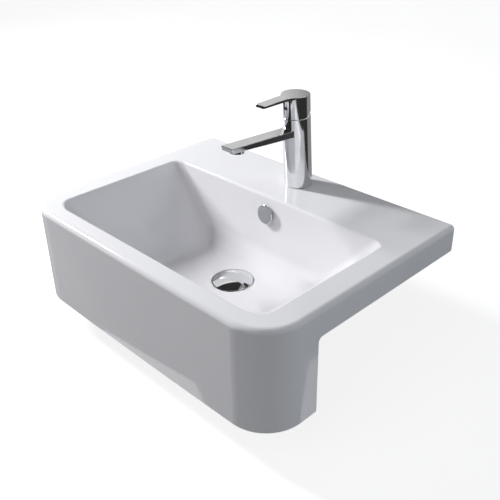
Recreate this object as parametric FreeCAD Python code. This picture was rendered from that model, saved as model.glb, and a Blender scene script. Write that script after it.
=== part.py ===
import FreeCAD, Part
import math
import os
from FreeCAD import Vector

# Semi recessed basin with mixer tap, click waste and overflow fitting. Millimetres.
# x is to the right, y towards the wall and z up. The origin is where the basin's back
# face meets the worktop's top, in the middle of the width.

# Driving dimensions of the ceramic basin
rim_width = 560.0            # overall width
corner_depth = 417.0         # back face to the front face, beside the corners
front_crown = 2.0            # how far the front face swells in its middle
rim_height = 43.0            # rim above the worktop
skirt_drop = 124.0           # skirt's lower edge below the worktop's top
worktop_depth = 321.0        # worktop's front edge from the back face
front_corner_radius = 65.0
back_corner_radius = 9.0
rim_edge_radius = 8.0
wall = 12.0                  # cast wall of the casing
deck = 13.0                  # thickness of deck and rim
foot_width = 30.0            # width of the foot that stands on the worktop
foot_thickness = 12.0
return_width = 42.0          # returns of the skirt, against the worktop's front
notch_radius = 8.0           # inside corner between foot and return

# Driving dimensions of the bowl. Depths are taken from the rim.
bowl_half_width = 237.2
bowl_back = 126.4            # bowl's back edge from the back face
front_rim = 31.0             # rim between the front face and the bowl
bowl_depth = 125.7
side_slope = 0.908           # inward run for each unit of depth
back_slope = 0.086
front_slope = 0.43
back_crease_radius = 16.0
front_crease_radius = 36.0
floor_radius = 36.0
bowl_wall = 11.0
bowl_edge_radius = 5.0

# Overflow hole, fitting and cast channel
overflow_depth = 31.0        # hole's centre below the rim
overflow_hole_radius = 12.0
overflow_cap_radius = 16.7
overflow_cap_thickness = 2.4
overflow_cap_gap = 4.2       # disc off the bowl's wall
overflow_cap_bevel = 0.6
overflow_flange_thickness = 0.8
overflow_stem_radius = 8.0
overflow_sleeve_wall = 1.5
overflow_barb = 2.0          # snap lugs behind the bowl's wall
channel_gap = 13.0
channel_half_width = 18.0
channel_wall = 8.0

# Waste
waste_from_back = 212.4
waste_hole_radius = 23.0
waste_recess_radius = 36.5
waste_recess_depth = 4.5
waste_boss_radius = 37.0
flange_radius = 33.5
flange_thickness = 2.0
flange_bevel = 0.6
flange_dish = 5.5            # flat rim of the flange, outside its funnel
throat_depth = 8.0           # depth of that funnel
tail_radius = 20.95          # G 1 1/4 thread
tail_bore_radius = 17.5
tail_thread_length = 34.0    # free thread below the back nut, for the trap's nut
thread_relief = 0.8          # depth of the groove above that thread
thread_relief_width = 2.0
tail_chamfer = 1.0
tail_drop = 175.0            # tail's end below the worktop's top
waste_seal_thickness = 1.2
lower_seal_thickness = 5.0
slip_washer_thickness = 1.5
back_nut_height = 10.0
back_nut_flats = 55.0
back_nut_bevel = 4.5
slot_height = 12.0
slot_half_width = 11.0
hub_height = 8.0             # hub that holds the click barrel
hub_wall = 2.5
spoke_thickness = 3.0
plug_radius = 34.0
plug_rise = 5.0              # crown above the plug's rim
plug_crown_steps = 5         # cones that make up the crown
plug_edge = 1.2
plug_bevel = 0.4
plug_boss_depth = 4.0        # boss under the plug, below the flange's top
plug_seal_thickness = 1.35
plug_travel = 9.0
plunger_radius = 3.0
piston_radius = 4.5
piston_height = 2.0
barrel_radius = 6.0
barrel_depth = 6.0           # barrel's top below the flange's top
barrel_lip = 3.0
barrel_floor = 1.5
spring_wire = 0.8
spring_turns = 5
spring_radius = 3.5

# Mixer tap. Heights of the tap are measured from the deck along its leaning axis.
tap_from_back = 51.6
tap_lean = 3.65              # degrees towards the bowl
tap_hole_radius = 17.5
tap_radius = 24.0
tap_seam_height = 124.8      # top of the fixed body
seam_gap = 0.8
tap_gasket_thickness = 0.8
tap_spigot_radius = 16.5
tap_spigot_depth = 5.0
stud_radius = 4.0            # M8 fixing stud
stud_offset = 10.0           # behind the tap hole's middle
stud_below_deck = 27.0
stud_thread_depth = 10.0     # tapped hole for it in the body
inlet_half_spacing = 8.5
inlet_forward = 2.0          # of the tap hole's middle
port_half_spacing = 8.0      # inlet ports of the cartridge
port_forward = 3.0
outlet_forward = 5.0         # outlet port, forward of the tap's axis
inlet_thread_radius = 4.6    # M10 x 1 core
inlet_thread_depth = 14.0
waterway_radius = 3.0
plate_top_height = 161.2     # level top of the lever above the deck
plate_thickness = 4.2
blade_tip_from_back = 144.4
blade_root_half_width = 11.3
blade_tip_half_width = 9.3
blade_shoulder_radius = 15.0
blade_corner_radius = 2.0
lever_bevel = 0.6
lift_angle = 25.0

# Spout
spout_half_width = 12.8
spout_tip_from_back = 216.0
spout_top_height = 112.6     # top of the tip above the deck
spout_rise = 3.26            # degrees
spout_root_thickness = 12.0
spout_tip_thickness = 8.0
spout_undercut = 2.0
spout_edge_radius = 1.0
spout_tenon_height = 100.6
spout_tenon_radius = 5.4
spout_tenon_length = 3.0
aerator_from_back = 194.4
aerator_radius = 12.0
aerator_thread_radius = 11.0
aerator_thread_depth = 5.0
aerator_drop = 4.5
aerator_holes = 8
aerator_hole_radius = 1.3
aerator_wall = 1.2

# Cartridge, heights along the tap's axis
cartridge_seat = 91.2
cartridge_radius = 14.0
cartridge_base_height = 5.0
fixed_disc_height = 3.0
moving_disc_height = 7.0
moving_disc_radius = 10.0
pivot_height = 114.2
stem_arm = 10.0              # pivot to the ball below it
ball_radius = 3.0
carrier_flange_radius = 12.35
carrier_neck_radius = 9.2
stem_pin_radius = 1.5
stem_half_width = 4.0
stem_top = 151.0
nut_radius = 17.4
nut_height = 7.0
dome_radius = 22.5
dome_thickness = 1.5
dome_mouth_radius = 13.6
dome_steps = 4               # cones that make up the dome's curve
dome_clearance = 0.6

# Clearances
running = 0.05               # radial running fit
free = 0.3                   # between pieces that pass without a fit
disc_gap = 0.02              # between the two ceramic discs

# Places that follow from the sizes above
bowl_front = corner_depth - front_rim
deck_z = rim_height
floor_z = rim_height - bowl_depth
recess_z = floor_z - waste_recess_depth
boss_low_z = -skirt_drop + 2.0
waste_y = -waste_from_back
tap_y = -tap_from_back


# ---- shared shapes ----

def rod(radius, low, high, x=0.0, y=0.0):
    return Part.makeCylinder(radius, high - low, Vector(x, y, low))


def ring(outer, inner, low, high, y=0.0):
    return rod(outer, low, high, 0.0, y).cut(rod(inner, low - 1.0, high + 1.0, 0.0, y))


def turned(profile, y=0.0):
    """A turned piece from its half section, given as (radius, height) pairs."""
    points = [Vector(radius, 0, height) for radius, height in profile]
    points.append(points[0])
    solid = Part.Face(Part.makePolygon(points)).revolve(Vector(0, 0, 0), Vector(0, 0, 1), 360)
    solid.translate(Vector(0, y, 0))
    return solid


def side_slab(profile, half_width):
    """A slab across x from its side view, given as (y, z) pairs."""
    points = [Vector(-half_width, y, z) for y, z in profile]
    points.append(points[0])
    return Part.Face(Part.makePolygon(points)).extrude(Vector(2 * half_width, 0, 0))


def block(x_low, x_high, y_low, y_high, z_low, z_high):
    return Part.makeBox(x_high - x_low, y_high - y_low, z_high - z_low, Vector(x_low, y_low, z_low))


def hexagon(flats, low, high, y=0.0):
    corner = flats / math.sqrt(3)
    angles = [math.radians(60 * i) for i in range(7)]
    points = [Vector(corner * math.cos(angle), y + corner * math.sin(angle), low) for angle in angles]
    return Part.Face(Part.makePolygon(points)).extrude(Vector(0, 0, high - low))


def arc_points(radius, centre_height, low, high, steps):
    """Points of a half section on an arc about a centre on the axis, from one height to another."""
    start = math.asin((low - centre_height) / radius)
    end = math.asin(min((high - centre_height) / radius, 1.0))
    angles = [start + (end - start) * i / steps for i in range(steps)]
    points = [(radius * math.cos(angle), centre_height + radius * math.sin(angle)) for angle in angles]
    return points + [(radius * math.cos(end), high)]


def edges_where(shape, test):
    return [edge for edge in shape.Edges if not edge.Degenerated and test(edge)]


def is_round(edge):
    return edge.Curve.TypeId == "Part::GeomCircle"


def all_points(edge, test):
    first = edge.FirstParameter
    last = edge.LastParameter
    return all(test(edge.valueAt(first + (last - first) * share)) for share in (0.0, 0.25, 0.5, 0.75, 1.0))


def is_vertical(edge):
    ends = edge.valueAt(edge.FirstParameter) - edge.valueAt(edge.LastParameter)
    return abs(ends.x) < 0.01 and abs(ends.y) < 6.0 and abs(ends.z) > 1.0


def lean(shape):
    """Tilts a piece that is built upright over the tap hole to the tap's axis."""
    return shape.rotated(Vector(0, tap_y, deck_z), Vector(1, 0, 0), tap_lean)


def on_tap_axis(height, forward=0.0, side=0.0):
    """The place at a height along the tap's axis, forward of it and to the side."""
    angle = math.radians(tap_lean)
    return Vector(side,
                  tap_y - height * math.sin(angle) - forward * math.cos(angle),
                  deck_z + height * math.cos(angle) - forward * math.sin(angle))


# ---- ceramic basin ----

def casing(inset, low, high):
    """Block with the basin's outline in plan, drawn in by an inset."""
    x = rim_width / 2 - inset
    back = -inset
    front = -corner_depth + inset

    corners = [Vector(-x, back, low), Vector(x, back, low), Vector(x, front, low), Vector(-x, front, low)]
    swell = Part.Arc(corners[2], Vector(0, front - front_crown, low), corners[3]).toShape()
    straight = Part.makePolygon([corners[3], corners[0], corners[1], corners[2]]).Edges
    solid = Part.Face(Part.Wire(straight + [swell])).extrude(Vector(0, 0, high - low))
    front_edges = edges_where(solid, lambda e: is_vertical(e) and e.CenterOfMass.y < -corner_depth / 2)
    solid = solid.makeFillet(front_corner_radius - inset, front_edges)
    back_edges = edges_where(solid, lambda e: is_vertical(e) and e.CenterOfMass.y > -corner_depth / 4)
    return solid.makeFillet(max(back_corner_radius - inset, 4.0), back_edges)


def back_wall_y(z, offset=0.0):
    """The bowl's back wall at a height, or a parallel to it further back."""
    depth = rim_height - z
    return -bowl_back - back_slope * depth + offset * math.hypot(1, back_slope)


def frustum(lower, upper):
    """Solid with plane sides between two four-cornered outlines."""
    sides = [[lower[i], lower[i - 1], upper[i - 1], upper[i]] for i in range(4)]
    faces = [Part.Face(Part.makePolygon(side + [side[0]])) for side in sides + [lower, upper]]
    return Part.Solid(Part.Shell(faces))


def bowl_block(grow, top_depth):
    """Solid of the bowl's hollow, grown outwards by a wall, from a depth below the rim down to its floor."""

    def half_at(z):
        return bowl_half_width - side_slope * (rim_height - z) + grow * math.hypot(1, side_slope)

    def back_at(z):
        return back_wall_y(z, grow)

    def front_at(z):
        return -bowl_front + front_slope * (rim_height - z) - grow * math.hypot(1, front_slope)

    def section(z):
        half = half_at(z)
        return [Vector(-half, back_at(z), z), Vector(half, back_at(z), z),
                Vector(half, front_at(z), z), Vector(-half, front_at(z), z)]

    def creases(shape, y_at):
        return edges_where(shape, lambda e: all_points(
            e, lambda p: abs(abs(p.x) - half_at(p.z)) < 0.1 and abs(p.y - y_at(p.z)) < 0.1))

    low = floor_z - grow
    solid = frustum(section(low), section(rim_height - top_depth))
    floor_edges = edges_where(solid, lambda e: all_points(e, lambda p: abs(p.z - low) < 0.01))
    solid = solid.makeFillet(floor_radius + grow, floor_edges)
    solid = solid.makeFillet(front_crease_radius + grow, creases(solid, front_at))
    return solid.makeFillet(back_crease_radius + grow, creases(solid, back_at))


def overflow_axis():
    slope = math.hypot(1, back_slope)
    return Vector(0, -1 / slope, back_slope / slope)


def overflow_point(forward=0.0):
    z = rim_height - overflow_depth
    return Vector(0, back_wall_y(z), z) + overflow_axis() * forward


def overflow_rod(radius, start, end):
    """A rod along the overflow's axis. Places are taken from the bowl's wall, positive into the bowl."""
    return Part.makeCylinder(radius, end - start, overflow_point(start), overflow_axis())


def channel_top_z():
    return rim_height - overflow_depth + overflow_hole_radius


def channel_low_z():
    return floor_z - bowl_wall - slot_height


def overflow_channel():
    """The passage behind the bowl's back wall and under its floor, to the waste hole."""
    top = channel_top_z()
    under_floor = floor_z - bowl_wall
    low = channel_low_z()
    outer = bowl_wall + channel_gap
    return side_slab([(back_wall_y(top, bowl_wall), top),
                      (back_wall_y(top, outer), top),
                      (back_wall_y(low, outer), low),
                      (waste_y, low),
                      (waste_y, under_floor),
                      (back_wall_y(under_floor, bowl_wall), under_floor)], channel_half_width)


def overflow_duct():
    """The cast duct around that passage, before it and the bowl are hollowed."""
    top = rim_height - deck + 1.0
    low = channel_low_z() - channel_wall
    outer = bowl_wall + channel_gap + channel_wall
    duct = side_slab([(back_wall_y(top), top),
                      (back_wall_y(top, outer), top),
                      (back_wall_y(low, outer), low),
                      (waste_y, low),
                      (waste_y, floor_z)], channel_half_width + channel_wall)
    long_edges = edges_where(duct, lambda e: all_points(e, lambda p: p.y > back_wall_y(low, outer) - 0.5)
                             and abs(abs(e.CenterOfMass.x) - channel_half_width - channel_wall) < 0.01)
    return duct.makeFillet(channel_wall - 1.0, long_edges)


def make_basin():
    shell = casing(0.0, -skirt_drop, rim_height)
    reach = rim_width
    behind = block(-reach, reach, -worktop_depth, reach, -skirt_drop - 1.0, 0.0)
    notch = edges_where(behind, lambda e: abs(e.CenterOfMass.y + worktop_depth) < 0.01
                        and abs(e.CenterOfMass.z) < 0.01)
    shell = shell.cut(behind.makeFillet(notch_radius, notch))
    top_rim = edges_where(shell, lambda e: all_points(e, lambda p: abs(p.z - rim_height) < 0.01))
    shell = shell.makeFillet(rim_edge_radius, top_rim)

    under_deck = casing(wall, foot_thickness, rim_height - deck)
    front_hollow = casing(wall, -skirt_drop - 1.0, foot_thickness + 1.0)
    front_hollow = front_hollow.cut(block(-reach, reach, -worktop_depth - wall, reach, -reach, reach))
    inner = rim_width / 2 - return_width
    between_returns = block(-inner, inner, -worktop_depth - wall - 1.0, -foot_width,
                            -skirt_drop - 1.0, foot_thickness + 1.0)
    shell = shell.cut(under_deck).cut(front_hollow).cut(between_returns)

    skin = bowl_block(bowl_wall, deck / 2)
    boss = rod(waste_boss_radius, boss_low_z, floor_z - bowl_wall / 2, 0.0, waste_y)
    shell = shell.fuse([skin, overflow_duct(), boss]).removeSplitter()

    shell = shell.cut(bowl_block(0.0, -rim_edge_radius))
    mouth = edges_where(shell, lambda e: all_points(
        e, lambda p: abs(p.z - rim_height) < 0.01 and abs(p.x) < bowl_half_width + 2.0
        and -bowl_front - 2.0 < p.y < -bowl_back + 2.0))
    shell = shell.makeFillet(bowl_edge_radius, mouth)
    shell = shell.cut(overflow_channel())
    shell = shell.cut(overflow_rod(overflow_hole_radius, -bowl_wall - channel_gap / 2, 5.0))
    shell = shell.cut(rod(waste_hole_radius, boss_low_z - 1.0, floor_z + 1.0, 0.0, waste_y))
    recess = rod(waste_recess_radius, recess_z, floor_z + 20.0, 0.0, waste_y)
    shell = shell.cut(recess.common(rod(waste_recess_radius + 1.0, recess_z, floor_z + 1.0, 0.0, waste_y)))
    shell = shell.cut(rod(tap_hole_radius, rim_height - deck - 1.0, rim_height + 1.0, 0.0, tap_y))
    return shell


# ---- overflow fitting ----

def across_overflow(shape):
    """Sets a piece built upright at the origin on the overflow's axis, with its foot at the bowl's wall."""
    tilt = 90 - math.degrees(math.atan(back_slope))
    return shape.rotated(Vector(0, 0, 0), Vector(1, 0, 0), tilt).translated(overflow_point())


def make_overflow():
    cap_top = overflow_cap_gap + overflow_cap_thickness
    bevel = overflow_cap_bevel
    socket = overflow_stem_radius - 2.5
    cap = across_overflow(turned([(0, overflow_cap_gap - 1.0), (socket, overflow_cap_gap - 1.0),
                                  (socket, -bowl_wall + 1.0), (overflow_stem_radius, -bowl_wall + 1.0),
                                  (overflow_stem_radius, overflow_cap_gap),
                                  (overflow_cap_radius - bevel, overflow_cap_gap),
                                  (overflow_cap_radius, overflow_cap_gap + bevel),
                                  (overflow_cap_radius, cap_top - bevel),
                                  (overflow_cap_radius - bevel, cap_top), (0, cap_top)]))

    sleeve_outer = overflow_hole_radius - free
    sleeve_inner = sleeve_outer - overflow_sleeve_wall
    tail = -bowl_wall - overflow_barb - 1.0
    barb_radius = overflow_hole_radius + 0.6
    lip_radius = overflow_hole_radius + 2.0
    sleeve = turned([(sleeve_inner, tail), (barb_radius - 0.8, tail), (barb_radius, tail + 0.8),
                     (barb_radius, -bowl_wall - 0.1), (sleeve_outer, -bowl_wall - 0.1), (sleeve_outer, 0),
                     (lip_radius, 0), (lip_radius, overflow_flange_thickness),
                     (sleeve_inner, overflow_flange_thickness)])
    for turn in (0, 90):
        slit = block(-barb_radius - 1.0, barb_radius + 1.0, -1.2, 1.2, tail - 0.1, tail + 8.0)
        sleeve = sleeve.cut(slit.rotated(Vector(0, 0, 0), Vector(0, 0, 1), turn))
    hub_inner = overflow_stem_radius + running
    hub = rod(hub_inner + 1.2, -bowl_wall, -bowl_wall + 6.0)
    for turn in (45, 135):
        web = block(-sleeve_outer + 0.5, sleeve_outer - 0.5, -1.0, 1.0, -bowl_wall, -bowl_wall + 3.0)
        hub = hub.fuse(web.rotated(Vector(0, 0, 0), Vector(0, 0, 1), turn))
    insert = sleeve.fuse(hub.cut(rod(hub_inner, -bowl_wall - 1.0, 1.0))).removeSplitter()
    return {"overflow_cap": cap, "overflow_insert": across_overflow(insert)}


# ---- click waste ----

def make_waste():
    seal_top = recess_z + waste_seal_thickness
    flange_top = seal_top + flange_thickness
    throat_z = flange_top - throat_depth
    tail_low = -tail_drop
    relief_low = tail_low + tail_chamfer + tail_thread_length
    relief_top = relief_low + thread_relief_width
    groove_radius = tail_radius - thread_relief
    body = turned([(tail_bore_radius, tail_low), (tail_radius - tail_chamfer, tail_low),
                   (tail_radius, tail_low + tail_chamfer), (tail_radius, relief_low),
                   (groove_radius, relief_low), (groove_radius, relief_top), (tail_radius, relief_top),
                   (tail_radius, seal_top), (flange_radius, seal_top),
                   (flange_radius, flange_top - flange_bevel),
                   (flange_radius - flange_bevel, flange_top), (flange_radius - flange_dish, flange_top),
                   (tail_bore_radius, throat_z)], waste_y)
    slot_top = floor_z - bowl_wall
    through = 2 * tail_radius
    slots = block(-slot_half_width, slot_half_width, waste_y - through, waste_y + through,
                  slot_top - slot_height, slot_top)
    body = body.cut(slots)
    hub_top = slot_top - slot_height - 1.0
    hub_low = hub_top - hub_height
    cross = rod(barrel_radius + hub_wall, hub_low, hub_top, 0.0, waste_y)
    arm = tail_bore_radius + 1.0
    for turn in (0, 120, 240):
        spoke = block(0.0, arm, -spoke_thickness / 2, spoke_thickness / 2, hub_low + 1.0, hub_top - 1.0)
        spoke.rotate(Vector(0, 0, 0), Vector(0, 0, 1), turn + 30)
        spoke.translate(Vector(0, waste_y, 0))
        cross = cross.fuse(spoke)
    socket = rod(barrel_radius, hub_low - 1.0, hub_top + 1.0, 0.0, waste_y)
    body = body.fuse(cross).cut(socket).removeSplitter()

    plug_low = flange_top + plug_seal_thickness + running
    barrel_low = hub_low - 1.0
    barrel_top = flange_top - barrel_depth
    lip = barrel_lip
    barrel_bore = piston_radius + 2 * running
    piston_low = barrel_top - lip - plug_travel - piston_height - free
    spring_low = barrel_low + barrel_floor
    barrel = turned([(0, barrel_low), (barrel_radius, barrel_low), (barrel_radius, barrel_top),
                     (plunger_radius + running, barrel_top), (plunger_radius + running, barrel_top - lip),
                     (barrel_bore, barrel_top - lip), (barrel_bore, spring_low), (0, spring_low)], waste_y)

    rod_top = plug_low + 1.5
    piston_top = piston_low + piston_height
    plunger = turned([(0, piston_low), (piston_radius, piston_low), (piston_radius, piston_top),
                      (plunger_radius, piston_top), (plunger_radius, rod_top), (0, rod_top)], waste_y)

    boss_low = flange_top - plug_boss_depth
    edge_top = plug_low + plug_edge
    arch = (plug_rise ** 2 + plug_radius ** 2) / (2 * plug_rise)
    crown_z = edge_top + plug_rise
    crown = arc_points(arch, crown_z - arch, edge_top, crown_z, plug_crown_steps)
    boss_radius = plunger_radius + 3.0
    bore_radius = plunger_radius + running
    cap = turned([(0, rod_top + running), (bore_radius, rod_top + running), (bore_radius, boss_low),
                  (boss_radius, boss_low), (boss_radius, plug_low), (plug_radius - plug_bevel, plug_low),
                  (plug_radius, plug_low + plug_bevel)] + crown, waste_y)
    plug_seal = ring(flange_radius - 2.0, flange_radius - 9.0, flange_top + running, plug_low, waste_y)

    low = boss_low_z
    washer_radius = waste_boss_radius - 3.0
    thread_radius = tail_radius + running
    lower_seal = ring(washer_radius, thread_radius, low - lower_seal_thickness, low, waste_y)
    low -= lower_seal_thickness
    washer = ring(washer_radius, thread_radius, low - slip_washer_thickness, low, waste_y)
    low -= slip_washer_thickness
    nut = hexagon(back_nut_flats, low - back_nut_height, low, waste_y)
    nut_low = low - back_nut_height
    flat_radius = back_nut_flats / 2
    nut_corner = flat_radius + back_nut_bevel
    bevel_top = nut_low + back_nut_bevel / 1.5
    nut = nut.common(turned([(0, nut_low), (flat_radius, nut_low), (nut_corner, bevel_top),
                             (nut_corner, low), (0, low)], waste_y))
    nut = nut.cut(rod(thread_radius, nut_low - 1.0, low + 1.0, 0.0, waste_y))
    top_seal = ring(flange_radius - 1.0, thread_radius, recess_z, seal_top, waste_y)
    return {
        "waste_body": body,
        "waste_top_seal": top_seal,
        "waste_bottom_seal": lower_seal,
        "waste_washer": washer,
        "waste_back_nut": nut,
        "click_barrel": barrel,
        "click_spring": coil_spring(spring_low + 0.1, piston_low - 0.1),
        "plunger_rod": plunger,
        "plug_cap": cap,
        "plug_seal": plug_seal,
    }


def coil_spring(low, high):
    """One wire wound on a screw line, between the barrel's floor and the piston."""
    height = high - low - spring_wire
    path = Part.makeHelix(height / spring_turns, height, spring_radius)
    half = spring_wire / 2
    corners = [Vector(spring_radius - half, 0, -half), Vector(spring_radius + half, 0, -half),
               Vector(spring_radius + half, 0, half), Vector(spring_radius - half, 0, half)]
    coil = Part.Wire(path).makePipeShell([Part.makePolygon(corners + [corners[0]])], True, True)
    coil.translate(Vector(0, waste_y, low + spring_wire / 2))
    return coil


# ---- mixer tap ----

def upright(radius, low, high, forward=0.0, side=0.0):
    """Rod along the tap's axis between two heights above the deck."""
    return lean(rod(radius, deck_z + low, deck_z + high, side, tap_y - forward))


def collar(outer, inner, low, high):
    return upright(outer, low, high).cut(upright(inner, low - 1.0, high + 1.0))


def forward_rod(radius, height, start, end):
    """Rod that points forward from the tap's axis, at a height along it."""
    tip = on_tap_axis(height, end)
    foot = on_tap_axis(height, start)
    return Part.makeCylinder(radius, end - start, foot, tip - foot)


def make_tap_body():
    foot_z = deck_z + tap_gasket_thickness
    body = upright(tap_radius, -8.0, tap_seam_height)
    top_edge = edges_where(body, lambda e: e.CenterOfMass.z > deck_z + tap_seam_height / 2
                           and is_round(e))
    body = body.makeChamfer(0.5, top_edge)
    reach = 2 * tap_radius
    body = body.cut(block(-reach, reach, tap_y - reach, tap_y + reach, deck_z - reach, foot_z))
    body = body.fuse(rod(tap_spigot_radius, deck_z - tap_spigot_depth, foot_z + 1.0, 0.0, tap_y))

    nut_low = cartridge_top()
    dome_ledge = nut_low + nut_height + 1.0
    cuts = [upright(cartridge_radius + free, cartridge_seat, nut_low),
            upright(nut_radius + running, nut_low, dome_ledge),
            upright(dome_rim_radius() + 0.1, dome_ledge, tap_seam_height + 1.0)]
    for side in (-inlet_half_spacing, inlet_half_spacing):
        cuts.append(rod(inlet_thread_radius, deck_z - tap_spigot_depth - 1.0,
                        deck_z - tap_spigot_depth + inlet_thread_depth, side, tap_y - inlet_forward))
    for side in (-port_half_spacing, port_half_spacing):
        port_low = inlet_thread_depth - tap_spigot_depth - 2.0
        cuts.append(upright(waterway_radius, port_low, cartridge_seat + 1.0, port_forward, side))
    cross_height = cartridge_seat - 8.0
    riser = riser_forward()
    cuts.append(upright(waterway_radius, cross_height, cartridge_seat + 1.0, outlet_forward))
    cuts.append(forward_rod(waterway_radius - 0.2, cross_height, outlet_forward, riser))
    cuts.append(upright(waterway_radius - 0.2, cross_height, spout_tenon_height, riser))
    cuts.append(forward_rod(spout_tenon_radius + running, spout_tenon_height, riser - waterway_radius,
                            tap_radius + 2.0))
    stud_y = tap_y + stud_offset
    cuts.append(rod(stud_radius, deck_z - tap_spigot_depth - 1.0, deck_z + stud_thread_depth, 0.0, stud_y))
    return body.cut(cuts).removeSplitter()


def cartridge_top():
    """Height of the top of the cartridge's shell, which the ring nut presses on."""
    return pivot_height - 0.5


def dome_rim_radius():
    """Radius of the dome where it comes out of the body."""
    rise = tap_seam_height - pivot_height
    return math.sqrt(dome_radius ** 2 - rise ** 2) + 0.3


def mouth_height(radius):
    """Height at which a ball about the pivot has shrunk to the dome's mouth, which the stem passes."""
    return pivot_height + math.sqrt(radius ** 2 - dome_mouth_radius ** 2)


def riser_forward():
    """Place of the drilled riser between the cartridge bore and the front of the body."""
    return (cartridge_radius + free + tap_radius) / 2


def make_spout():
    rise = math.tan(math.radians(spout_rise))
    tip_y = -spout_tip_from_back
    tip_top = deck_z + spout_top_height
    root_y = tap_y - 10.0
    root_top = tip_top - (root_y - tip_y) * rise
    face_y = tap_y - tap_radius - 5.0
    face_low = tip_top - (face_y - tip_y) * rise - spout_root_thickness
    tip_low = tip_top - spout_tip_thickness
    under_rise = (tip_low - face_low) / (face_y - tip_y)
    root_low = tip_low - (root_y - tip_y) * under_rise
    bar = side_slab([(tip_y, tip_top), (root_y, root_top), (root_y, root_low),
                     (tip_y + spout_undercut, tip_low)], spout_half_width)
    long_edges = edges_where(bar, lambda e: e.CenterOfMass.y < root_y - 1.0)
    bar = bar.makeFillet(spout_edge_radius, long_edges)
    bar = bar.cut(upright(tap_radius + running, spout_tenon_height - 40.0, spout_tenon_height + 40.0))
    tenon_start = tap_radius - spout_tenon_length
    bar = bar.fuse(forward_rod(spout_tenon_radius, spout_tenon_height, tenon_start, tap_radius + 2.0))

    socket = Vector(0, -aerator_from_back, tip_low - (-aerator_from_back - tip_y) * under_rise)
    under_angle = -math.degrees(math.atan(under_rise))
    socket_top = aerator_thread_depth + 0.4
    bar = bar.cut(at_outlet(rod(aerator_thread_radius + running, -3.0, socket_top), socket, under_angle))
    start = on_tap_axis(spout_tenon_height, tenon_start - 1.0)
    end = at_outlet(rod(1.0, 0.0, 3.6), socket, under_angle).CenterOfMass + Vector(0, 0, 1.6)
    bar = bar.cut(Part.makeCylinder(waterway_radius - 0.2, (end - start).Length, start, end - start))
    spout = bar.removeSplitter()

    thread = aerator_thread_depth
    bore = aerator_thread_radius - aerator_wall
    housing = turned([(bore, -aerator_drop), (aerator_radius - 0.4, -aerator_drop),
                      (aerator_radius, -aerator_drop + 0.4), (aerator_radius, -0.1),
                      (aerator_thread_radius, -0.1), (aerator_thread_radius, thread - 1.0),
                      (bore, thread - 1.0)])
    insert_radius = bore - running
    insert = rod(insert_radius, -aerator_drop + 0.6, thread - 1.0)
    steps = [2 * math.pi * i / aerator_holes for i in range(aerator_holes)]
    ring_radius = aerator_thread_radius / 2
    holes = [rod(aerator_hole_radius, -aerator_drop, thread, ring_radius * math.cos(step),
                 ring_radius * math.sin(step)) for step in steps]
    insert = insert.cut(holes)
    seal = turned([(insert_radius - 3.0, thread - 1.0), (aerator_thread_radius, thread - 1.0),
                   (aerator_thread_radius, thread + 0.3), (insert_radius - 3.0, thread + 0.3)])
    return {
        "spout_arm": spout,
        "aerator_housing": at_outlet(housing, socket, under_angle),
        "aerator_insert": at_outlet(insert, socket, under_angle),
        "aerator_seal": at_outlet(seal, socket, under_angle),
    }


def at_outlet(shape, place, angle):
    """Moves a piece built upright at the origin to the socket under the spout."""
    return shape.rotated(Vector(0, 0, 0), Vector(1, 0, 0), angle).translated(place)


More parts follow.
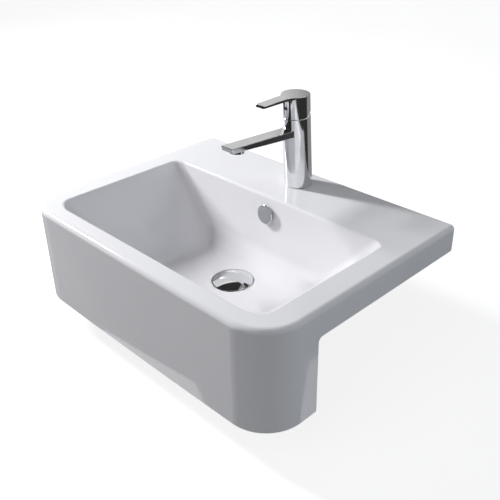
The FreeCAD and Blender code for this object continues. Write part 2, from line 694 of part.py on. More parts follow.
def make_cartridge():
    base_top = cartridge_seat + cartridge_base_height
    fixed_top = base_top + fixed_disc_height
    moving_low = fixed_top + disc_gap
    moving_top = moving_low + moving_disc_height
    inner_radius = carrier_flange_radius + running
    shell_top = cartridge_top()
    lid = 3.0
    rest_offset = -(math.sin(math.radians(lift_angle)) * stem_arm) / 2

    base = upright(cartridge_radius, cartridge_seat, base_top)
    ports = [(port_forward, -port_half_spacing), (port_forward, port_half_spacing), (outlet_forward, 0.0)]
    base = base.cut([upright(waterway_radius, cartridge_seat - 1.0, base_top + 1.0, forward, side)
                     for forward, side in ports])
    grooves = [upright(waterway_radius + 1.2, cartridge_seat - 1.0, cartridge_seat + 1.2, forward, side)
               for forward, side in ports[:2]]
    base = base.cut(grooves)
    seals = [upright(waterway_radius + 1.15, cartridge_seat, cartridge_seat + 1.2, forward, side).cut(
             upright(waterway_radius, cartridge_seat - 1.0, cartridge_seat + 2.0, forward, side))
             for forward, side in ports[:2]]
    fixed = upright(inner_radius - 0.1, base_top, fixed_top)
    fixed = fixed.cut([upright(waterway_radius - 0.4, base_top - 1.0, fixed_top + 1.0, forward, side)
                       for forward, side in ports])

    moving = upright(moving_disc_radius, moving_low, moving_top, rest_offset)
    pocket_radius = ball_radius + 0.4
    moving = moving.cut(upright(pocket_radius, pivot_height - stem_arm - pocket_radius, moving_top + 1.0))
    chamber = upright(moving_disc_radius - 3.5, moving_low - 1.0, moving_low + 0.9, rest_offset)
    moving = moving.cut(chamber)

    shell = collar(cartridge_radius, inner_radius, base_top, shell_top - lid)
    shell = shell.fuse(collar(cartridge_radius, carrier_neck_radius + running, shell_top - lid, shell_top))

    flange_low = moving_top + 0.4
    flange_top = shell_top - lid - disc_gap
    carrier = upright(carrier_flange_radius, flange_low, flange_top)
    carrier = carrier.fuse(upright(carrier_neck_radius, flange_top - 0.5, pivot_height + 4.0))
    slot_half = stem_half_width + 0.2
    slot_reach = math.sin(math.radians(lift_angle)) * stem_arm + ball_radius + 0.2
    slot = lean(block(-slot_half, slot_half, tap_y - slot_reach, tap_y + slot_reach,
                      deck_z + flange_low - 1.0, deck_z + pivot_height + 5.0))
    pin = Part.makeCylinder(stem_pin_radius, 2 * carrier_neck_radius - 1.0,
                            on_tap_axis(pivot_height, 0.0, -carrier_neck_radius + 0.5), Vector(1, 0, 0))
    carrier = carrier.cut([slot, pin])

    hub = Part.makeCylinder(5.5, 2 * stem_half_width, on_tap_axis(pivot_height, 0.0, -stem_half_width),
                            Vector(1, 0, 0))
    shank = lean(block(-stem_half_width, stem_half_width, tap_y - stem_half_width, tap_y + stem_half_width,
                       deck_z + pivot_height, deck_z + stem_top))
    lower = upright(2.4, pivot_height - stem_arm, pivot_height)
    middle = deck_z + pivot_height - stem_arm
    ball = lean(turned([(0, middle - ball_radius), (ball_radius * 0.6, middle - ball_radius * 0.8),
                        (ball_radius, middle - 1.0), (ball_radius, middle + 1.0),
                        (ball_radius * 0.6, middle + ball_radius * 0.8), (0, middle + ball_radius)], tap_y))
    stem = hub.fuse([shank, lower, ball]).removeSplitter()
    pin_hole = Part.makeCylinder(stem_pin_radius + running, 4 * stem_half_width,
                                 on_tap_axis(pivot_height, 0.0, -2 * stem_half_width), Vector(1, 0, 0))
    stem = stem.cut(pin_hole)

    nut = collar(nut_radius, carrier_neck_radius + 2.5, shell_top, shell_top + nut_height)
    socket = hexagon(2 * carrier_neck_radius + 9.0, deck_z + shell_top + nut_height - 3.0,
                     deck_z + shell_top + nut_height + 1.0, tap_y)
    nut = nut.cut(lean(socket))

    ledge = shell_top + nut_height + 1.0
    hollow_radius = dome_radius - dome_thickness
    outer = arc_points(dome_radius, pivot_height, tap_seam_height, mouth_height(dome_radius), dome_steps)
    inner = arc_points(hollow_radius, pivot_height, ledge + 1.4, mouth_height(hollow_radius), dome_steps)
    foot = [(nut_radius - 0.5, ledge + 1.4), (nut_radius - 0.5, ledge), (dome_rim_radius(), ledge)]
    dome = turned(foot + [(dome_rim_radius(), tap_seam_height)] + outer[1:] + inner[::-1])
    dome = lean(dome.translated(Vector(0, tap_y, deck_z)))
    return {
        "cartridge_base": base,
        "cartridge_seals": Part.makeCompound(seals),
        "fixed_disc": fixed,
        "moving_disc": moving,
        "cartridge_housing": shell,
        "cartridge_carrier": carrier,
        "stem_pin": pin,
        "cartridge_stem": stem,
        "cartridge_nut": nut,
        "cover_dome": dome,
    }


def blade_outline():
    """The lever seen from above: a round cap with a blade that narrows to its tip."""
    cap_centre = on_tap_axis(plate_top_height)
    tip_y = -blade_tip_from_back
    root_y = cap_centre.y - tap_radius * 0.6
    low = deck_z + plate_top_height - plate_thickness
    points = [Vector(-blade_root_half_width, root_y, low), Vector(blade_root_half_width, root_y, low),
              Vector(blade_tip_half_width, tip_y, low), Vector(-blade_tip_half_width, tip_y, low)]
    blade = Part.Face(Part.makePolygon(points + [points[0]])).extrude(Vector(0, 0, plate_thickness))
    cap = Part.makeCylinder(tap_radius, plate_thickness, Vector(0, cap_centre.y, low))
    return cap, blade


def make_handle():
    skirt_low = tap_seam_height + seam_gap
    top_z = deck_z + plate_top_height
    reach = 2 * tap_radius
    barrel = upright(tap_radius, skirt_low, plate_top_height + 12.0)
    barrel = barrel.cut(block(-reach, reach, tap_y - 2 * reach, tap_y + reach, top_z, top_z + reach))
    cap, blade = blade_outline()
    handle = barrel.fuse(blade).removeSplitter()
    tip_y = -blade_tip_from_back
    shoulders = edges_where(handle, lambda e: is_vertical(e) and e.CenterOfMass.y > tip_y + 10.0
                            and abs(abs(e.CenterOfMass.x) - blade_root_half_width) < 1.5)
    handle = handle.makeFillet(blade_shoulder_radius, shoulders)
    tip_corners = edges_where(handle, lambda e: is_vertical(e) and e.CenterOfMass.y < tip_y + 1.0)
    handle = handle.makeFillet(blade_corner_radius, tip_corners)
    rims = edges_where(handle, lambda e: all_points(e, lambda p: abs(p.z - top_z) < 0.01))
    handle = handle.makeChamfer(lever_bevel, rims)

    centre = on_tap_axis(pivot_height)
    cavity_radius = dome_radius + dome_clearance
    cavity_top = pivot_height + cavity_radius
    cavity = arc_points(cavity_radius, pivot_height, skirt_low - 1.0, cavity_top, 2 * dome_steps)
    clear_ball = lean(turned([(0, skirt_low - 1.0)] + cavity).translated(Vector(0, tap_y, deck_z)))
    hollow = collar(tap_radius - 4.5, 8.5, pivot_height + 14.0, plate_top_height - plate_thickness - 3.5)
    below = lean(block(-reach, reach, tap_y - reach, tap_y + reach, deck_z - reach, deck_z + skirt_low))
    relief = below.rotated(centre, Vector(1, 0, 0), lift_angle)
    socket = lean(block(-stem_half_width - running, stem_half_width + running,
                        tap_y - stem_half_width - running, tap_y + stem_half_width + running,
                        deck_z + pivot_height, deck_z + stem_top + 0.5))
    handle = handle.cut([clear_ball, hollow, relief, socket])

    screw_height = pivot_height + 29.0
    screw_radius = 2.5
    hole = forward_rod(screw_radius + running, screw_height, stem_half_width - 1.0, tap_radius - 5.0)
    access = forward_rod(screw_radius + 0.6, screw_height, tap_radius - 6.0, tap_radius + 2.0)
    handle = handle.cut([hole, access]).removeSplitter()
    screw = forward_rod(screw_radius, screw_height, stem_half_width + running, stem_half_width + 4.5)
    hexagon_hole = forward_rod(1.25, screw_height, stem_half_width + 2.5, stem_half_width + 5.5)
    screw = screw.cut(hexagon_hole)
    plug = forward_rod(screw_radius + 0.6 - running, screw_height, tap_radius - 4.4, tap_radius - 0.6)
    return {"lever_handle": handle, "grub_screw": screw, "index_plug": plug}


def make_tap_fixing():
    deck_low = rim_height - deck
    gasket = ring(tap_radius - 0.8, tap_spigot_radius + 0.2, deck_z, deck_z + tap_gasket_thickness, tap_y)
    stud_y = tap_y + stud_offset
    pad_thickness = 3.0
    plate_thick = 2.5
    nut_flats = 13.0
    plate_low = deck_low - pad_thickness - plate_thick

    def horseshoe(low, high):
        shoe = rod(tap_radius - 1.0, low, high, 0.0, tap_y)
        half = inlet_half_spacing + inlet_thread_radius + 1.4
        inner_y = tap_y - inlet_forward + inlet_thread_radius + 1.0
        opening = block(-half, half, tap_y - 2 * tap_radius, inner_y, low - 1.0, high + 1.0)
        return shoe.cut([opening, rod(stud_radius + free, low - 1.0, high + 1.0, 0.0, stud_y)])

    stud = rod(stud_radius, deck_low - stud_below_deck, deck_z + stud_thread_depth - 1.0, 0.0, stud_y)
    stud = stud.makeChamfer(0.8, edges_where(stud, lambda e: is_round(e)))
    nut_low = plate_low - 6.5
    nut = hexagon(nut_flats, nut_low, plate_low, stud_y).cut(rod(stud_radius + running, nut_low - 1.0,
                                                                 plate_low + 1.0, 0.0, stud_y))
    return {
        "base_gasket": gasket,
        "fixing_stud": stud,
        "horseshoe_gasket": horseshoe(deck_low - pad_thickness, deck_low),
        "horseshoe_plate": horseshoe(plate_low, plate_low + plate_thick),
        "fixing_nut": nut,
    }


# ---- all pieces ----

pieces = {"basin": make_basin(), "tap_body": make_tap_body()}
pieces.update(make_overflow())
pieces.update(make_waste())
pieces.update(make_spout())
pieces.update(make_cartridge())
pieces.update(make_handle())
pieces.update(make_tap_fixing())

os.makedirs("parts", exist_ok=True)
for node, shape in pieces.items():
    shape.exportStep("parts/" + node + ".step")
    print(node, len(shape.Solids), round(shape.Volume), shape.isValid())
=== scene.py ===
import bmesh
import bpy
import math
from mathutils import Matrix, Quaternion, Vector


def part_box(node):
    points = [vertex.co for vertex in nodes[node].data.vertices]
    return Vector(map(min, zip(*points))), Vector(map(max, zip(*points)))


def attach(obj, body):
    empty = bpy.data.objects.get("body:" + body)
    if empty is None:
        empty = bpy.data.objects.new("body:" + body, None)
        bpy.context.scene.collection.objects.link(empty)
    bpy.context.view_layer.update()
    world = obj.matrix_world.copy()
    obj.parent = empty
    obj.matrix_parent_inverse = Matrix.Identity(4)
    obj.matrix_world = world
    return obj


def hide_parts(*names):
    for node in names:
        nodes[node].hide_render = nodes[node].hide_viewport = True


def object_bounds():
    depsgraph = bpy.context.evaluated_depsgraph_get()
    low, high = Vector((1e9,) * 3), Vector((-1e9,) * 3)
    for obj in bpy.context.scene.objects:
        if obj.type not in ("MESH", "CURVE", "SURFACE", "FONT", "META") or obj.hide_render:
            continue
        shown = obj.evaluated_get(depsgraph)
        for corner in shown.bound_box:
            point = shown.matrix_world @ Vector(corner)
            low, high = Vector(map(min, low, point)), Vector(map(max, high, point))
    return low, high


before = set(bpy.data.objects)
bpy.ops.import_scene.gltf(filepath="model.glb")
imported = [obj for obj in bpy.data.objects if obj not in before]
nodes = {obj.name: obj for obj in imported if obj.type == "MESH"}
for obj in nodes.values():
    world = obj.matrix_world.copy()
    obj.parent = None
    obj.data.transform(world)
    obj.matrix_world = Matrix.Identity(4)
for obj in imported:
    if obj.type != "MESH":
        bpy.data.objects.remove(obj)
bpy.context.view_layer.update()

# ---- Ceramic basin ----
# One casting of vitreous china, dipped in white glaze and fired standing on its foot and skirt.
# The glaze is glassy with a faint ripple. The faces that it stood on stay bare and gritty.


def start_finish(name):
    """A new material, with short ways to add and link its nodes."""
    material = bpy.data.materials.new(name)
    material.use_nodes = True
    tree = material.node_tree
    shader = tree.nodes["Principled BSDF"]

    def add(kind, inputs=None, **settings):
        node = tree.nodes.new(kind)
        for setting, value in settings.items():
            setattr(node, setting, value)
        for socket, value in (inputs or {}).items():
            node.inputs[socket].default_value = value
        return node

    def link(source, output, target, socket):
        tree.links.new(source.outputs[output], target.inputs[socket])

    place = add("ShaderNodeTexCoord")
    return material, shader, add, link, place


def shades(add, link, texture, output, dark, light, low=0.35, high=0.65):
    """Two colours spread over a texture."""
    ramp = add("ShaderNodeValToRGB")
    ramp.color_ramp.elements[0].position = low
    ramp.color_ramp.elements[0].color = (*dark, 1.0)
    ramp.color_ramp.elements[1].position = high
    ramp.color_ramp.elements[1].color = (*light, 1.0)
    link(texture, output, ramp, "Fac")
    return ramp


def dress(material, *names):
    """Gives CAD nodes their finish."""
    for name in names:
        slots = nodes[name].data.materials
        slots.clear()
        slots.append(material)


def make_glaze():
    skirt_foot, foot_tolerance, facing_down = -0.1205, 0.0006, -0.9
    material, shader, add, link, place = start_finish("white_glaze")
    cloud = add("ShaderNodeTexNoise", {"Scale": 6.0, "Detail": 3.0, "Roughness": 0.5})
    link(place, "Object", cloud, "Vector")
    glazed = shades(add, link, cloud, "Fac", (0.828, 0.825, 0.850), (0.855, 0.852, 0.876))

    split = add("ShaderNodeSeparateXYZ")
    link(place, "Object", split, "Vector")
    lie = add("ShaderNodeNewGeometry")
    facing = add("ShaderNodeSeparateXYZ")
    link(lie, "Normal", facing, "Vector")
    downward = add("ShaderNodeMath", {1: facing_down}, operation="LESS_THAN")
    link(facing, "Z", downward, 0)
    lower_edges = add("ShaderNodeMath", {1: skirt_foot}, operation="LESS_THAN")
    link(split, "Z", lower_edges, 0)
    foot_level = add("ShaderNodeMath", {1: 0.0, 2: foot_tolerance}, operation="COMPARE")
    link(split, "Z", foot_level, 0)
    either = add("ShaderNodeMath", operation="MAXIMUM")
    link(lower_edges, "Value", either, 0)
    link(foot_level, "Value", either, 1)
    bare = add("ShaderNodeMath", operation="MULTIPLY")
    link(either, "Value", bare, 0)
    link(downward, "Value", bare, 1)

    grain = add("ShaderNodeTexNoise", {"Scale": 900.0, "Detail": 2.0})
    link(place, "Object", grain, "Vector")
    biscuit = shades(add, link, grain, "Fac", (0.56, 0.53, 0.48), (0.68, 0.65, 0.60), 0.3, 0.7)
    colour = add("ShaderNodeMix", data_type="RGBA")
    link(bare, "Value", colour, "Factor")
    link(glazed, "Color", colour, 6)
    link(biscuit, "Color", colour, 7)
    link(colour, 2, shader, "Base Color")

    sheen = add("ShaderNodeMapRange", {"To Min": 0.06, "To Max": 0.12})
    link(cloud, "Fac", sheen, "Value")
    rough = add("ShaderNodeMix", data_type="FLOAT")
    rough.inputs["B"].default_value = 0.8
    link(bare, "Value", rough, "Factor")
    link(sheen, "Result", rough, "A")
    link(rough, "Result", shader, "Roughness")

    ripple = add("ShaderNodeTexNoise", {"Scale": 38.0, "Detail": 2.0, "Roughness": 0.4})
    link(place, "Object", ripple, "Vector")
    bump = add("ShaderNodeBump", {"Strength": 0.05, "Distance": 0.0006})
    link(ripple, "Fac", bump, "Height")
    grit = add("ShaderNodeBump", {"Distance": 0.0003})
    link(bump, "Normal", grit, "Normal")
    link(grain, "Fac", grit, "Height")
    link(bare, "Value", grit, "Strength")
    link(grit, "Normal", shader, "Normal")
    shader.inputs["IOR"].default_value = 1.52
    return material


dress(make_glaze(), "basin")

# ---- Mixer tap's body and spout ----
# Cast and machined brass, ground, polished, then plated with nickel and chrome.
# The spout's tenon is soldered into the body. The aerator screws in from below.


def make_chrome():
    material, shader, add, link, place = start_finish("polished_chrome")
    drift = add("ShaderNodeTexNoise", {"Scale": 40.0, "Detail": 2.0})
    link(place, "Object", drift, "Vector")
    tone = shades(add, link, drift, "Fac", (0.80, 0.805, 0.82), (0.86, 0.865, 0.875), 0.3, 0.7)
    link(tone, "Color", shader, "Base Color")
    haze = add("ShaderNodeTexNoise", {"Scale": 350.0, "Detail": 4.0})
    link(place, "Object", haze, "Vector")
    sheen = add("ShaderNodeMapRange", {"To Min": 0.035, "To Max": 0.09})
    link(haze, "Fac", sheen, "Value")
    link(sheen, "Result", shader, "Roughness")
    stretch = add("ShaderNodeMapping", {"Scale": (1.0, 1.0, 0.08)})
    link(place, "Object", stretch, "Vector")
    hairlines = add("ShaderNodeTexNoise", {"Scale": 2600.0, "Detail": 2.0})
    link(stretch, "Vector", hairlines, "Vector")
    polish = add("ShaderNodeBump", {"Strength": 0.04, "Distance": 0.00004})
    link(hairlines, "Fac", polish, "Height")
    link(polish, "Normal", shader, "Normal")
    shader.inputs["Metallic"].default_value = 1.0
    return material


def make_moulded(name, dark, light, roughness, grain_depth, grain_scale=900.0):
    """Rubber or plastic from a mould: a slight cloud in its colour and a fine spark-eroded grain."""
    material, shader, add, link, place = start_finish(name)
    cloud = add("ShaderNodeTexNoise", {"Scale": 70.0, "Detail": 3.0})
    link(place, "Object", cloud, "Vector")
    tone = shades(add, link, cloud, "Fac", dark, light)
    link(tone, "Color", shader, "Base Color")
    grain = add("ShaderNodeTexNoise", {"Scale": grain_scale, "Detail": 3.0})
    link(place, "Object", grain, "Vector")
    sheen = add("ShaderNodeMapRange", {"To Min": roughness[0], "To Max": roughness[1]})
    link(grain, "Fac", sheen, "Value")
    link(sheen, "Result", shader, "Roughness")
    skin = add("ShaderNodeBump", {"Strength": 0.35, "Distance": grain_depth})
    link(grain, "Fac", skin, "Height")
    link(skin, "Normal", shader, "Normal")
    return material


chrome = make_chrome()
black_rubber = make_moulded("black_rubber", (0.022, 0.022, 0.024), (0.045, 0.045, 0.048), (0.55, 0.8), 0.00008)
grey_plastic = make_moulded("grey_plastic", (0.40, 0.41, 0.43), (0.46, 0.47, 0.49), (0.35, 0.5), 0.00004)
dress(chrome, "tap_body", "spout_arm", "aerator_housing")
dress(grey_plastic, "aerator_insert")
dress(black_rubber, "aerator_seal")

# ---- Fixing of the tap under the deck ----
# A rubber ring seals the tap on the glaze. Below the deck a brass stud and nut draw a zinc-plated
# steel horseshoe up against its rubber pad, so the tap stands firm.


def make_metal(name, dark, light, roughness, ring_pitch, ring_depth, direction="Z"):
    """Machined metal, with the fine rings that the tool leaves along its axis."""
    material, shader, add, link, place = start_finish(name)
    stain = add("ShaderNodeTexNoise", {"Scale": 90.0, "Detail": 4.0})
    link(place, "Object", stain, "Vector")
    tone = shades(add, link, stain, "Fac", dark, light, 0.3, 0.7)
    link(tone, "Color", shader, "Base Color")
    sheen = add("ShaderNodeMapRange", {"To Min": roughness[0], "To Max": roughness[1]})
    link(stain, "Fac", sheen, "Value")
    link(sheen, "Result", shader, "Roughness")
    # A wave texture has a period of pi/10 over its scale.
    rings = add("ShaderNodeTexWave", {"Scale": math.pi / 10 / ring_pitch, "Distortion": 0.4, "Detail": 1.0},
                bands_direction=direction)
    link(place, "Object", rings, "Vector")
    tooling = add("ShaderNodeBump", {"Strength": 0.5, "Distance": ring_depth})
    link(rings, "Fac", tooling, "Height")
    link(tooling, "Normal", shader, "Normal")
    shader.inputs["Metallic"].default_value = 1.0
    return material


turned_brass = make_metal("turned_brass", (0.62, 0.46, 0.20), (0.76, 0.60, 0.32), (0.22, 0.4), 0.0004, 0.00003)
threaded_brass = make_metal("threaded_brass", (0.60, 0.44, 0.19), (0.74, 0.58, 0.30), (0.25, 0.4),
                            0.00125, 0.0007)
zinc_steel = make_metal("zinc_steel", (0.50, 0.52, 0.55), (0.66, 0.67, 0.69), (0.28, 0.45), 0.0006, 0.00002)
dress(black_rubber, "base_gasket", "horseshoe_gasket")
dress(zinc_steel, "horseshoe_plate")
dress(threaded_brass, "fixing_stud")
dress(turned_brass, "fixing_nut")

# ---- Cartridge inside the body ----
# Two lapped ceramic discs mix and shut off the water. They sit in a glass-filled plastic shell,
# moved by a brass stem on a steel pin, and a brass ring nut holds the lot down.


def make_disc_ceramic():
    material, shader, add, link, place = start_finish("lapped_ceramic")
    speckle = add("ShaderNodeTexVoronoi", {"Scale": 1400.0})
    link(place, "Object", speckle, "Vector")
    tone = shades(add, link, speckle, "Distance", (0.80, 0.79, 0.75), (0.90, 0.89, 0.85), 0.1, 0.6)
    link(tone, "Color", shader, "Base Color")
    sheen = add("ShaderNodeMapRange", {"To Min": 0.10, "To Max": 0.22})
    link(speckle, "Distance", sheen, "Value")
    link(sheen, "Result", shader, "Roughness")
    return material


white_plastic = make_moulded("white_plastic", (0.80, 0.80, 0.78), (0.87, 0.87, 0.85), (0.35, 0.5), 0.00004)
bright_steel = make_metal("bright_steel", (0.56, 0.57, 0.59), (0.68, 0.69, 0.70), (0.15, 0.3), 0.0003, 0.00001)
dress(white_plastic, "cartridge_base", "cartridge_carrier")
dress(black_rubber, "cartridge_seals")
dress(make_disc_ceramic(), "fixed_disc", "moving_disc")
dress(grey_plastic, "cartridge_housing")
dress(bright_steel, "stem_pin")
dress(turned_brass, "cartridge_stem", "cartridge_nut")

# ---- Lever and cover dome ----
# One zinc casting, polished and chromed, over a chromed dome that hides the cartridge.
# A steel grub screw clamps it to the stem, under a small dark plug.

dark_plastic = make_moulded("dark_plastic", (0.018, 0.018, 0.022), (0.03, 0.03, 0.036), (0.2, 0.3), 0.00002)
dress(chrome, "lever_handle", "cover_dome")
dress(bright_steel, "grub_screw")
dress(dark_plastic, "index_plug")

# ---- Overflow fitting ----
# A chromed disc on a plastic sleeve that snaps into the hole in the bowl's back wall.

dress(chrome, "overflow_cap")
dress(grey_plastic, "overflow_insert")

# ---- Click waste ----
# A chromed brass tail screwed up against the bowl, with a white seal above and a black one below.
# A brass rod with a spring clicks in a plastic barrel under the plug.

white_rubber = make_moulded("white_rubber", (0.66, 0.66, 0.64), (0.76, 0.76, 0.74), (0.5, 0.7), 0.00006)


def make_threaded_chrome():
    """Plain chrome above, with the tail's thread from below the bowl to its end."""
    material, shader, add, link, place = start_finish("threaded_chrome")
    drift = add("ShaderNodeTexNoise", {"Scale": 60.0, "Detail": 3.0})
    link(place, "Object", drift, "Vector")
    tone = shades(add, link, drift, "Fac", (0.79, 0.795, 0.81), (0.86, 0.865, 0.875), 0.3, 0.7)
    link(tone, "Color", shader, "Base Color")
    sheen = add("ShaderNodeMapRange", {"To Min": 0.05, "To Max": 0.14})
    link(drift, "Fac", sheen, "Value")
    link(sheen, "Result", shader, "Roughness")
    pitch, thread_top = 0.002309, -0.1
    thread = add("ShaderNodeTexWave", {"Scale": math.pi / 10 / pitch, "Distortion": 0.0}, bands_direction="Z",
                 wave_profile="TRI")
    link(place, "Object", thread, "Vector")
    split = add("ShaderNodeSeparateXYZ")
    link(place, "Object", split, "Vector")
    below = add("ShaderNodeMath", {1: thread_top}, operation="LESS_THAN")
    link(split, "Z", below, 0)
    cut = add("ShaderNodeBump", {"Distance": 0.0011})
    link(thread, "Fac", cut, "Height")
    link(below, "Value", cut, "Strength")
    link(cut, "Normal", shader, "Normal")
    shader.inputs["Metallic"].default_value = 1.0
    return material


def turn_on_lathe(name, profile, centre, segments=128):
    """A turned piece from its half section of (radius, height) pairs, smooth except at real corners."""
    corner_angle = math.radians(28)
    mesh = bpy.data.meshes.new(name)
    work = bmesh.new()
    rings = []
    for radius, height in profile:
        if radius < 1e-6:
            rings.append([work.verts.new((centre[0], centre[1], height))] * segments)
            continue
        angles = [2 * math.pi * i / segments for i in range(segments)]
        rings.append([work.verts.new((centre[0] + radius * math.cos(a), centre[1] + radius * math.sin(a), height))
                      for a in angles])
    for lower, upper in zip(rings, rings[1:]):
        for i in range(segments):
            j = (i + 1) % segments
            corners = [lower[i], lower[j], upper[j], upper[i]]
            corners = [c for k, c in enumerate(corners) if c not in corners[:k]]
            work.faces.new(corners)
    bmesh.ops.recalc_face_normals(work, faces=work.faces)
    for face in work.faces:
        face.smooth = True
    for edge in work.edges:
        edge.smooth = edge.calc_face_angle(0.0) < corner_angle
    work.to_mesh(mesh)
    work.free()
    piece = bpy.data.objects.new(name, mesh)
    bpy.context.scene.collection.objects.link(piece)
    return piece


def make_plug():
    low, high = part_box("plug_cap")
    centre = ((low.x + high.x) / 2, (low.y + high.y) / 2)
    radius = (high.x - low.x) / 2
    boss_radius, bore_radius, boss_depth, socket_top = 0.006, 0.00305, 0.0054, 0.00155
    bevel, rim_height = 0.0003, 0.0006
    seat = low.z + boss_depth
    profile = [(0.0, seat + socket_top), (bore_radius, seat + socket_top), (bore_radius, low.z),
               (boss_radius, low.z), (boss_radius, seat), (radius - bevel, seat), (radius, seat + bevel),
               (radius, seat + rim_height)]
    # The crown is part of a ball, from the rim's edge to the middle.
    rise = high.z - seat - rim_height
    ball = (rise ** 2 + radius ** 2) / (2 * rise)
    rim_angle = math.asin(radius / ball)
    steps = 36
    angles = [rim_angle * (1 - i / steps) for i in range(1, steps)]
    profile += [(ball * math.sin(angle), high.z - ball + ball * math.cos(angle)) for angle in angles]
    profile += [(0.0, high.z)]
    plug = turn_on_lathe("plug_crown", profile, centre)
    plug.data.materials.append(chrome)
    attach(plug, "plug")
    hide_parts("plug_cap")


make_plug()
dress(make_threaded_chrome(), "waste_body")
dress(white_rubber, "waste_top_seal")
dress(black_rubber, "waste_bottom_seal", "plug_seal")
dress(white_plastic, "waste_washer", "click_barrel")
dress(turned_brass, "waste_back_nut", "plunger_rod")
dress(bright_steel, "click_spring")

# ---- Floor ----
# A plain white sheet just under the waste's tail. The camera and the chrome see it white, and it
# keeps the object's shadow. It throws little light back on the skirt.


def looking_rays(tree):
    """1 for rays of the camera, of mirrors and of glass, and 0 for those that only carry light."""
    rays = tree.nodes.new("ShaderNodeLightPath")
    reached = rays.outputs["Is Camera Ray"]
    for kind in ("Is Glossy Ray", "Is Transmission Ray"):
        larger = tree.nodes.new("ShaderNodeMath")
        larger.operation = "MAXIMUM"
        tree.links.new(reached, larger.inputs[0])
        tree.links.new(rays.outputs[kind], larger.inputs[1])
        reached = larger.outputs[0]
    return reached


def make_floor():
    half, gap, glow_strength = 9, 0.0005, 0.82
    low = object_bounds()[0].z - gap
    mesh = bpy.data.meshes.new("floor")
    mesh.from_pydata([(-half, -half, low), (half, -half, low), (half, half, low), (-half, half, low)], [],
                     [(0, 1, 2, 3)])
    floor = bpy.data.objects.new("floor", mesh)
    bpy.context.scene.collection.objects.link(floor)

    material, shader, add, link, place = start_finish("white_sheet")
    fibre = add("ShaderNodeTexNoise", {"Scale": 3.0, "Detail": 2.0})
    link(place, "Object", fibre, "Vector")
    tone = shades(add, link, fibre, "Fac", (0.30, 0.30, 0.305), (0.32, 0.32, 0.325))
    link(tone, "Color", shader, "Base Color")
    shader.inputs["Roughness"].default_value = 0.9
    shader.inputs["Specular IOR Level"].default_value = 0.1
    glow = add("ShaderNodeEmission", {"Color": (1.0, 1.0, 1.0, 1.0)})
    power = add("ShaderNodeMath", {1: glow_strength}, operation="MULTIPLY")
    material.node_tree.links.new(looking_rays(material.node_tree), power.inputs[0])
    link(power, "Value", glow, "Strength")
    both = add("ShaderNodeAddShader")
    link(shader, "BSDF", both, 0)
    link(glow, "Emission", both, 1)
    link(both, "Shader", material.node_tree.nodes["Material Output"], "Surface")
    mesh.materials.append(material)


make_floor()

# ---- Studio screens ----
# Grey and black screens stand round the basin, out of the picture. They glow with set shades, as painted
# reflections of a studio's walls, dark floor cloth and ceiling. They light nothing and cast no shadow, and only
# polished pieces and the glaze's gloss show them.


def screen(name, inner, outer, steps):
    """A band between two (radius, height) rings round the tap, with (azimuth, shade) steps along it."""
    tap_y = -0.06
    mesh = bpy.data.meshes.new(name)
    points = []
    shade_values = []
    for azimuth, shade in steps:
        turn = math.radians(azimuth)
        for radius, height in (inner, outer):
            points.append((radius * math.cos(turn), tap_y + radius * math.sin(turn), height))
            shade_values.append(shade)
    faces = [(2 * i, 2 * i + 1, 2 * i + 3, 2 * i + 2) for i in range(len(steps) - 1)]
    mesh.from_pydata(points, [], faces)
    mesh.attributes.new("shade", "FLOAT", "POINT").data.foreach_set("value", shade_values)
    sheet = bpy.data.objects.new(name, mesh)
    bpy.context.scene.collection.objects.link(sheet)
    for unseen in ("visible_camera", "visible_diffuse", "visible_shadow", "visible_transmission"):
        setattr(sheet, unseen, False)
    material, shader, add, link, place = start_finish(name)
    # The sheet glows with its set shade. This is a painted reflection, not a lamp.
    tone = add("ShaderNodeAttribute", attribute_name="shade")
    glow = add("ShaderNodeEmission")
    link(tone, "Fac", glow, "Color")
    link(glow, "Emission", material.node_tree.nodes["Material Output"], "Surface")
    material.cycles.emission_sampling = "NONE"
    mesh.materials.append(material)


screen("back_wall_reflection", (2.4, -0.1), (2.4, 2.4),
       [(50, 0.26), (80, 0.28), (100, 0.30), (120, 0.28), (130.5, 0.32), (133.5, 0.62), (150, 0.70), (175, 0.75)])
screen("front_wall_reflection", (2.4, -0.1), (2.4, 2.4),
       [(-165, 0.7), (-156, 0.02), (-120, 0.02), (-90, 0.02), (-80, 0.85), (-66, 0.85), (-58, 0.03), (-20, 0.03),
        (10, 0.03), (44, 0.04), (50, 0.26)])
screen("floor_cloth_reflection", (0.42, -0.17), (2.4, -0.17),
       [(-165, 0.05), (-140, 0.03), (-110, 0.02), (-80, 0.03), (-50, 0.04), (-20, 0.03), (10, 0.03), (30, 0.03),
        (46, 0.05), (52, 0.27), (75, 0.27), (100, 0.30), (130, 0.5)])
screen("ceiling", (0.0, 2.3), (2.3, 2.3),
       [(-180, 0.05), (-150, 0.02), (-90, 0.02), (-65, 0.1), (-45, 0.45), (0, 0.6), (80, 0.6), (105, 0.45),
        (122, 0.03), (180, 0.03)])

# ---- Lamps ----
# A tall narrow soft lamp on the left casts the tap's shadow across the deck. Broad dim ones behind,
# to the right and in front fill the bowl and the shaded faces.


def aim(name, data, towards, distance):
    """Puts a lamp at a distance from the bowl, shining in a direction."""
    holder = bpy.data.objects.new(name, data)
    direction = Vector(towards).normalized()
    holder.location = Vector((0.0, -0.15, 0.05)) - direction * distance
    holder.rotation_mode = "QUATERNION"
    holder.rotation_quaternion = direction.to_track_quat("-Z", "Y")
    bpy.context.scene.collection.objects.link(holder)
    return holder


def strip_lamp(name, power, towards, distance, width, height):
    data = bpy.data.lights.new(name, "AREA")
    data.shape = "RECTANGLE"
    data.energy = power
    data.size = width
    data.size_y = height
    aim(name, data, towards, distance)


def broad_lamp(name, strength, towards, spread, colour):
    data = bpy.data.lights.new(name, "SUN")
    data.energy = strength
    data.angle = math.radians(spread)
    data.color = colour
    aim(name, data, towards, 3.0).visible_glossy = False


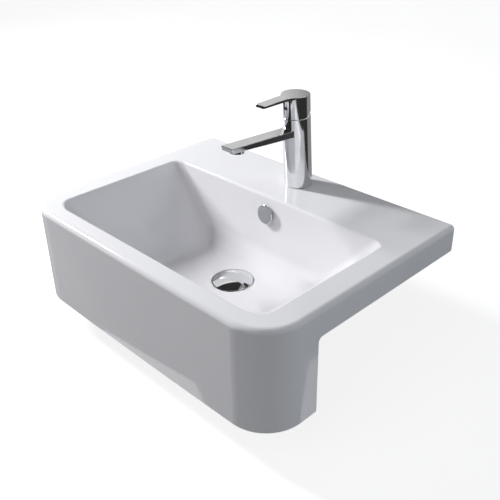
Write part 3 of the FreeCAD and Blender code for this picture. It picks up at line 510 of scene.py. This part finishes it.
cool = (0.97, 0.98, 1.0)
blue = (0.88, 0.94, 1.0)
strip_lamp("key", 56.0, (0.827, 0.266, -0.495), 2.1, 0.21, 0.62)
broad_lamp("above", 0.09, (0.0, 0.0, -1.0), 60, cool)
broad_lamp("behind", 0.12, (0.0, -0.7, -0.7), 60, cool)
broad_lamp("behind_right", 0.90, (-0.7, -0.7, -0.36), 40, blue)
broad_lamp("right", 0.32, (-1.0, 0.0, -0.18), 40, blue)
broad_lamp("front", 0.50, (0.0, 0.7, -0.7), 60, cool)
broad_lamp("front_left", 0.31, (0.45, 0.85, -0.3), 50, cool)

# ---- Nets ----
# Two unseen nets thin the lamps' light where it would burn the glaze out: one beside the left
# face, and one over the bowl's right wall. Their edges let more light through, so no hard line shows.


def hang_net(name, columns, rows):
    """A net that thins light. Columns are (y, share let through), rows (x, z, share let through)."""
    mesh = bpy.data.meshes.new(name)
    points = [(x, y, z) for y, _ in columns for x, z, _ in rows]
    passed = [max(side, up) for _, side in columns for _, _, up in rows]
    count = len(rows)
    faces = [(i * count + j, (i + 1) * count + j, (i + 1) * count + j + 1, i * count + j + 1)
             for i in range(len(columns) - 1) for j in range(count - 1)]
    mesh.from_pydata(points, [], faces)
    mesh.attributes.new("shade", "FLOAT", "POINT").data.foreach_set("value", passed)
    net = bpy.data.objects.new(name, mesh)
    bpy.context.scene.collection.objects.link(net)
    for unseen in ("visible_camera", "visible_diffuse", "visible_glossy", "visible_transmission"):
        setattr(net, unseen, False)
    material, shader, add, link, place = start_finish(name)
    tone = add("ShaderNodeAttribute", attribute_name="shade")
    thread = add("ShaderNodeBsdfTransparent")
    link(tone, "Fac", thread, "Color")
    link(thread, "BSDF", material.node_tree.nodes["Material Output"], "Surface")
    mesh.materials.append(material)


hang_net("side_net", [(-0.425, 1.0), (-0.385, 0.6), (-0.34, 0.36), (0.03, 0.36)],
         [(-0.292, -0.14, 0.36), (-0.292, 0.034, 0.36), (-0.292, 0.048, 1.0)])
hang_net("bowl_net", [(-0.388, 1.0), (-0.35, 0.62), (-0.16, 0.62), (-0.125, 1.0)],
         [(0.228, 0.046, 1.0), (0.205, 0.024, 0.62), (0.118, -0.067, 0.62), (0.082, -0.078, 1.0)])

# ---- Room ----
# The camera, the chrome and the glaze see a white room. As a lamp it is almost dark.

world = bpy.data.worlds.new("studio")
bpy.context.scene.world = world
world.use_nodes = True
room = world.node_tree
room.nodes.clear()
background = room.nodes.new("ShaderNodeBackground")
background.inputs["Color"].default_value = (1.0, 1.0, 1.0, 1.0)
fill = room.nodes.new("ShaderNodeBackground")
fill.inputs["Color"].default_value = (0.96, 0.97, 1.0, 1.0)
fill.inputs["Strength"].default_value = 0.02
either = room.nodes.new("ShaderNodeMixShader")
room.links.new(looking_rays(room), either.inputs[0])
room.links.new(fill.outputs[0], either.inputs[1])
room.links.new(background.outputs[0], either.inputs[2])
room_output = room.nodes.new("ShaderNodeOutputWorld")
room.links.new(either.outputs[0], room_output.inputs[0])

# ---- Camera ----
# It stands in front and to the right, as the photograph's did, and looks down on the bowl.

film_width, focal_pixels, picture_pixels = 36.0, 709.33, 500.0
camera_data = bpy.data.cameras.new("camera")
camera_data.sensor_width = film_width
camera_data.lens = focal_pixels / picture_pixels * film_width
camera_data.clip_start = 0.01
camera = bpy.data.objects.new("camera", camera_data)
camera.location = (0.7493, -0.8934, 0.5516)
azimuth, elevation, roll = 0.8036, 0.5178, -0.0205
back = Vector((math.sin(azimuth) * math.cos(elevation), -math.cos(azimuth) * math.cos(elevation),
               math.sin(elevation)))
camera.rotation_mode = "QUATERNION"
camera.rotation_quaternion = (-back).to_track_quat("-Z", "Y") @ Quaternion((0, 0, 1), roll)
bpy.context.scene.collection.objects.link(camera)
bpy.context.scene.camera = camera
bpy.context.scene.view_settings.view_transform = "Standard"
